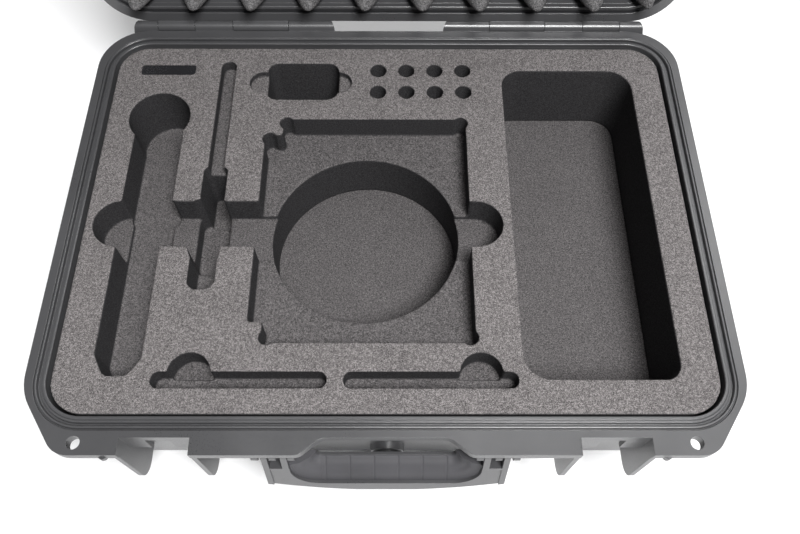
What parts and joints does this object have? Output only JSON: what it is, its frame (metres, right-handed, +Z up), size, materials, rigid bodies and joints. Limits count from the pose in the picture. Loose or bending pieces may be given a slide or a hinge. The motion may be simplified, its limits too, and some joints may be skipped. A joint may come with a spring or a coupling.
{
  "type": "microphone case",
  "caption": "Open hard carrying case for a wireless microphone set, with a routed foam inlay, a foam-lined hinged lid, latches and a carrying handle.",
  "frame": {"origin": "middle of the underside's raised panel, level with the feet, in the middle of the base's inside width and depth", "axes": "+X to the right seen from the handle's side, +Y to the hinges, +Z up"},
  "size_m": [0.506, 0.491, 0.5632],
  "materials": {
    "shell": "satin",
    "foam": "matte",
    "rubber": "matte",
    "steel": "satin",
    "label": "matte"
  },
  "bodies": {
    "base": {"base_shell": "shell", "base_foam_pad": "foam", "inlay_microphone": "foam", "inlay_cable": "foam", "inlay_receiver": "foam", "inlay_batteries": "foam", "inlay_antennas": "foam", "inlay_accessories": "foam", "inlay_label": "label", "hinge_pin_left": "steel", "hinge_pin_right": "steel", "handle_pin_left": "steel", "handle_pin_right": "steel", "valve_body": "steel", "valve_o_ring": "rubber", "valve_nut": "steel", "valve_cap": "shell"},
    "lid": {"lid_shell": "shell", "lid_foam": "foam", "lid_gasket": "rubber", "latch_pin_left": "steel", "latch_pin_right": "steel"},
    "handle": {"handle_frame": "shell", "handle_grip": "rubber"},
    "latch_left": {"latch_body_left": "shell", "trigger_pin_left": "steel", "trigger_spring_left": "steel"},
    "trigger_left": {"latch_trigger_left": "shell"},
    "latch_right": {"latch_body_right": "shell", "trigger_pin_right": "steel", "trigger_spring_right": "steel"},
    "trigger_right": {"latch_trigger_right": "shell"}
  },
  "joints": [
    {"name": "lid_hinge", "type": "hinge", "parent": "base", "child": "lid", "pos_m": [0, 0.191, 0.135], "axis": [1, 0, 0], "range_deg": [0, 97]},
    {"name": "handle_swing", "type": "hinge", "parent": "base", "child": "handle", "pos_m": [0, -0.1894, 0.1218], "axis": [-1, 0, 0], "range_deg": [0, 79]},
    {"name": "latch_left_swing", "type": "hinge", "parent": "lid", "child": "latch_left", "pos_m": [-0.1563, 0.25108, 0.50947], "axis": [1, 0, 0], "range_deg": [0, 105]},
    {"name": "trigger_left_press", "type": "hinge", "parent": "latch_left", "child": "trigger_left", "pos_m": [-0.1563, 0.2598, 0.53183], "axis": [1, 0, 0], "range_deg": [0, 8], "stiffness_Nm_per_rad": 0.12, "springref_deg": -5.73},
    {"name": "latch_right_swing", "type": "hinge", "parent": "lid", "child": "latch_right", "pos_m": [0.1563, 0.25108, 0.50947], "axis": [1, 0, 0], "range_deg": [0, 105]},
    {"name": "trigger_right_press", "type": "hinge", "parent": "latch_right", "child": "trigger_right", "pos_m": [0.1563, 0.2598, 0.53183], "axis": [1, 0, 0], "range_deg": [0, 8], "stiffness_Nm_per_rad": 0.12, "springref_deg": -5.73}
  ]
}
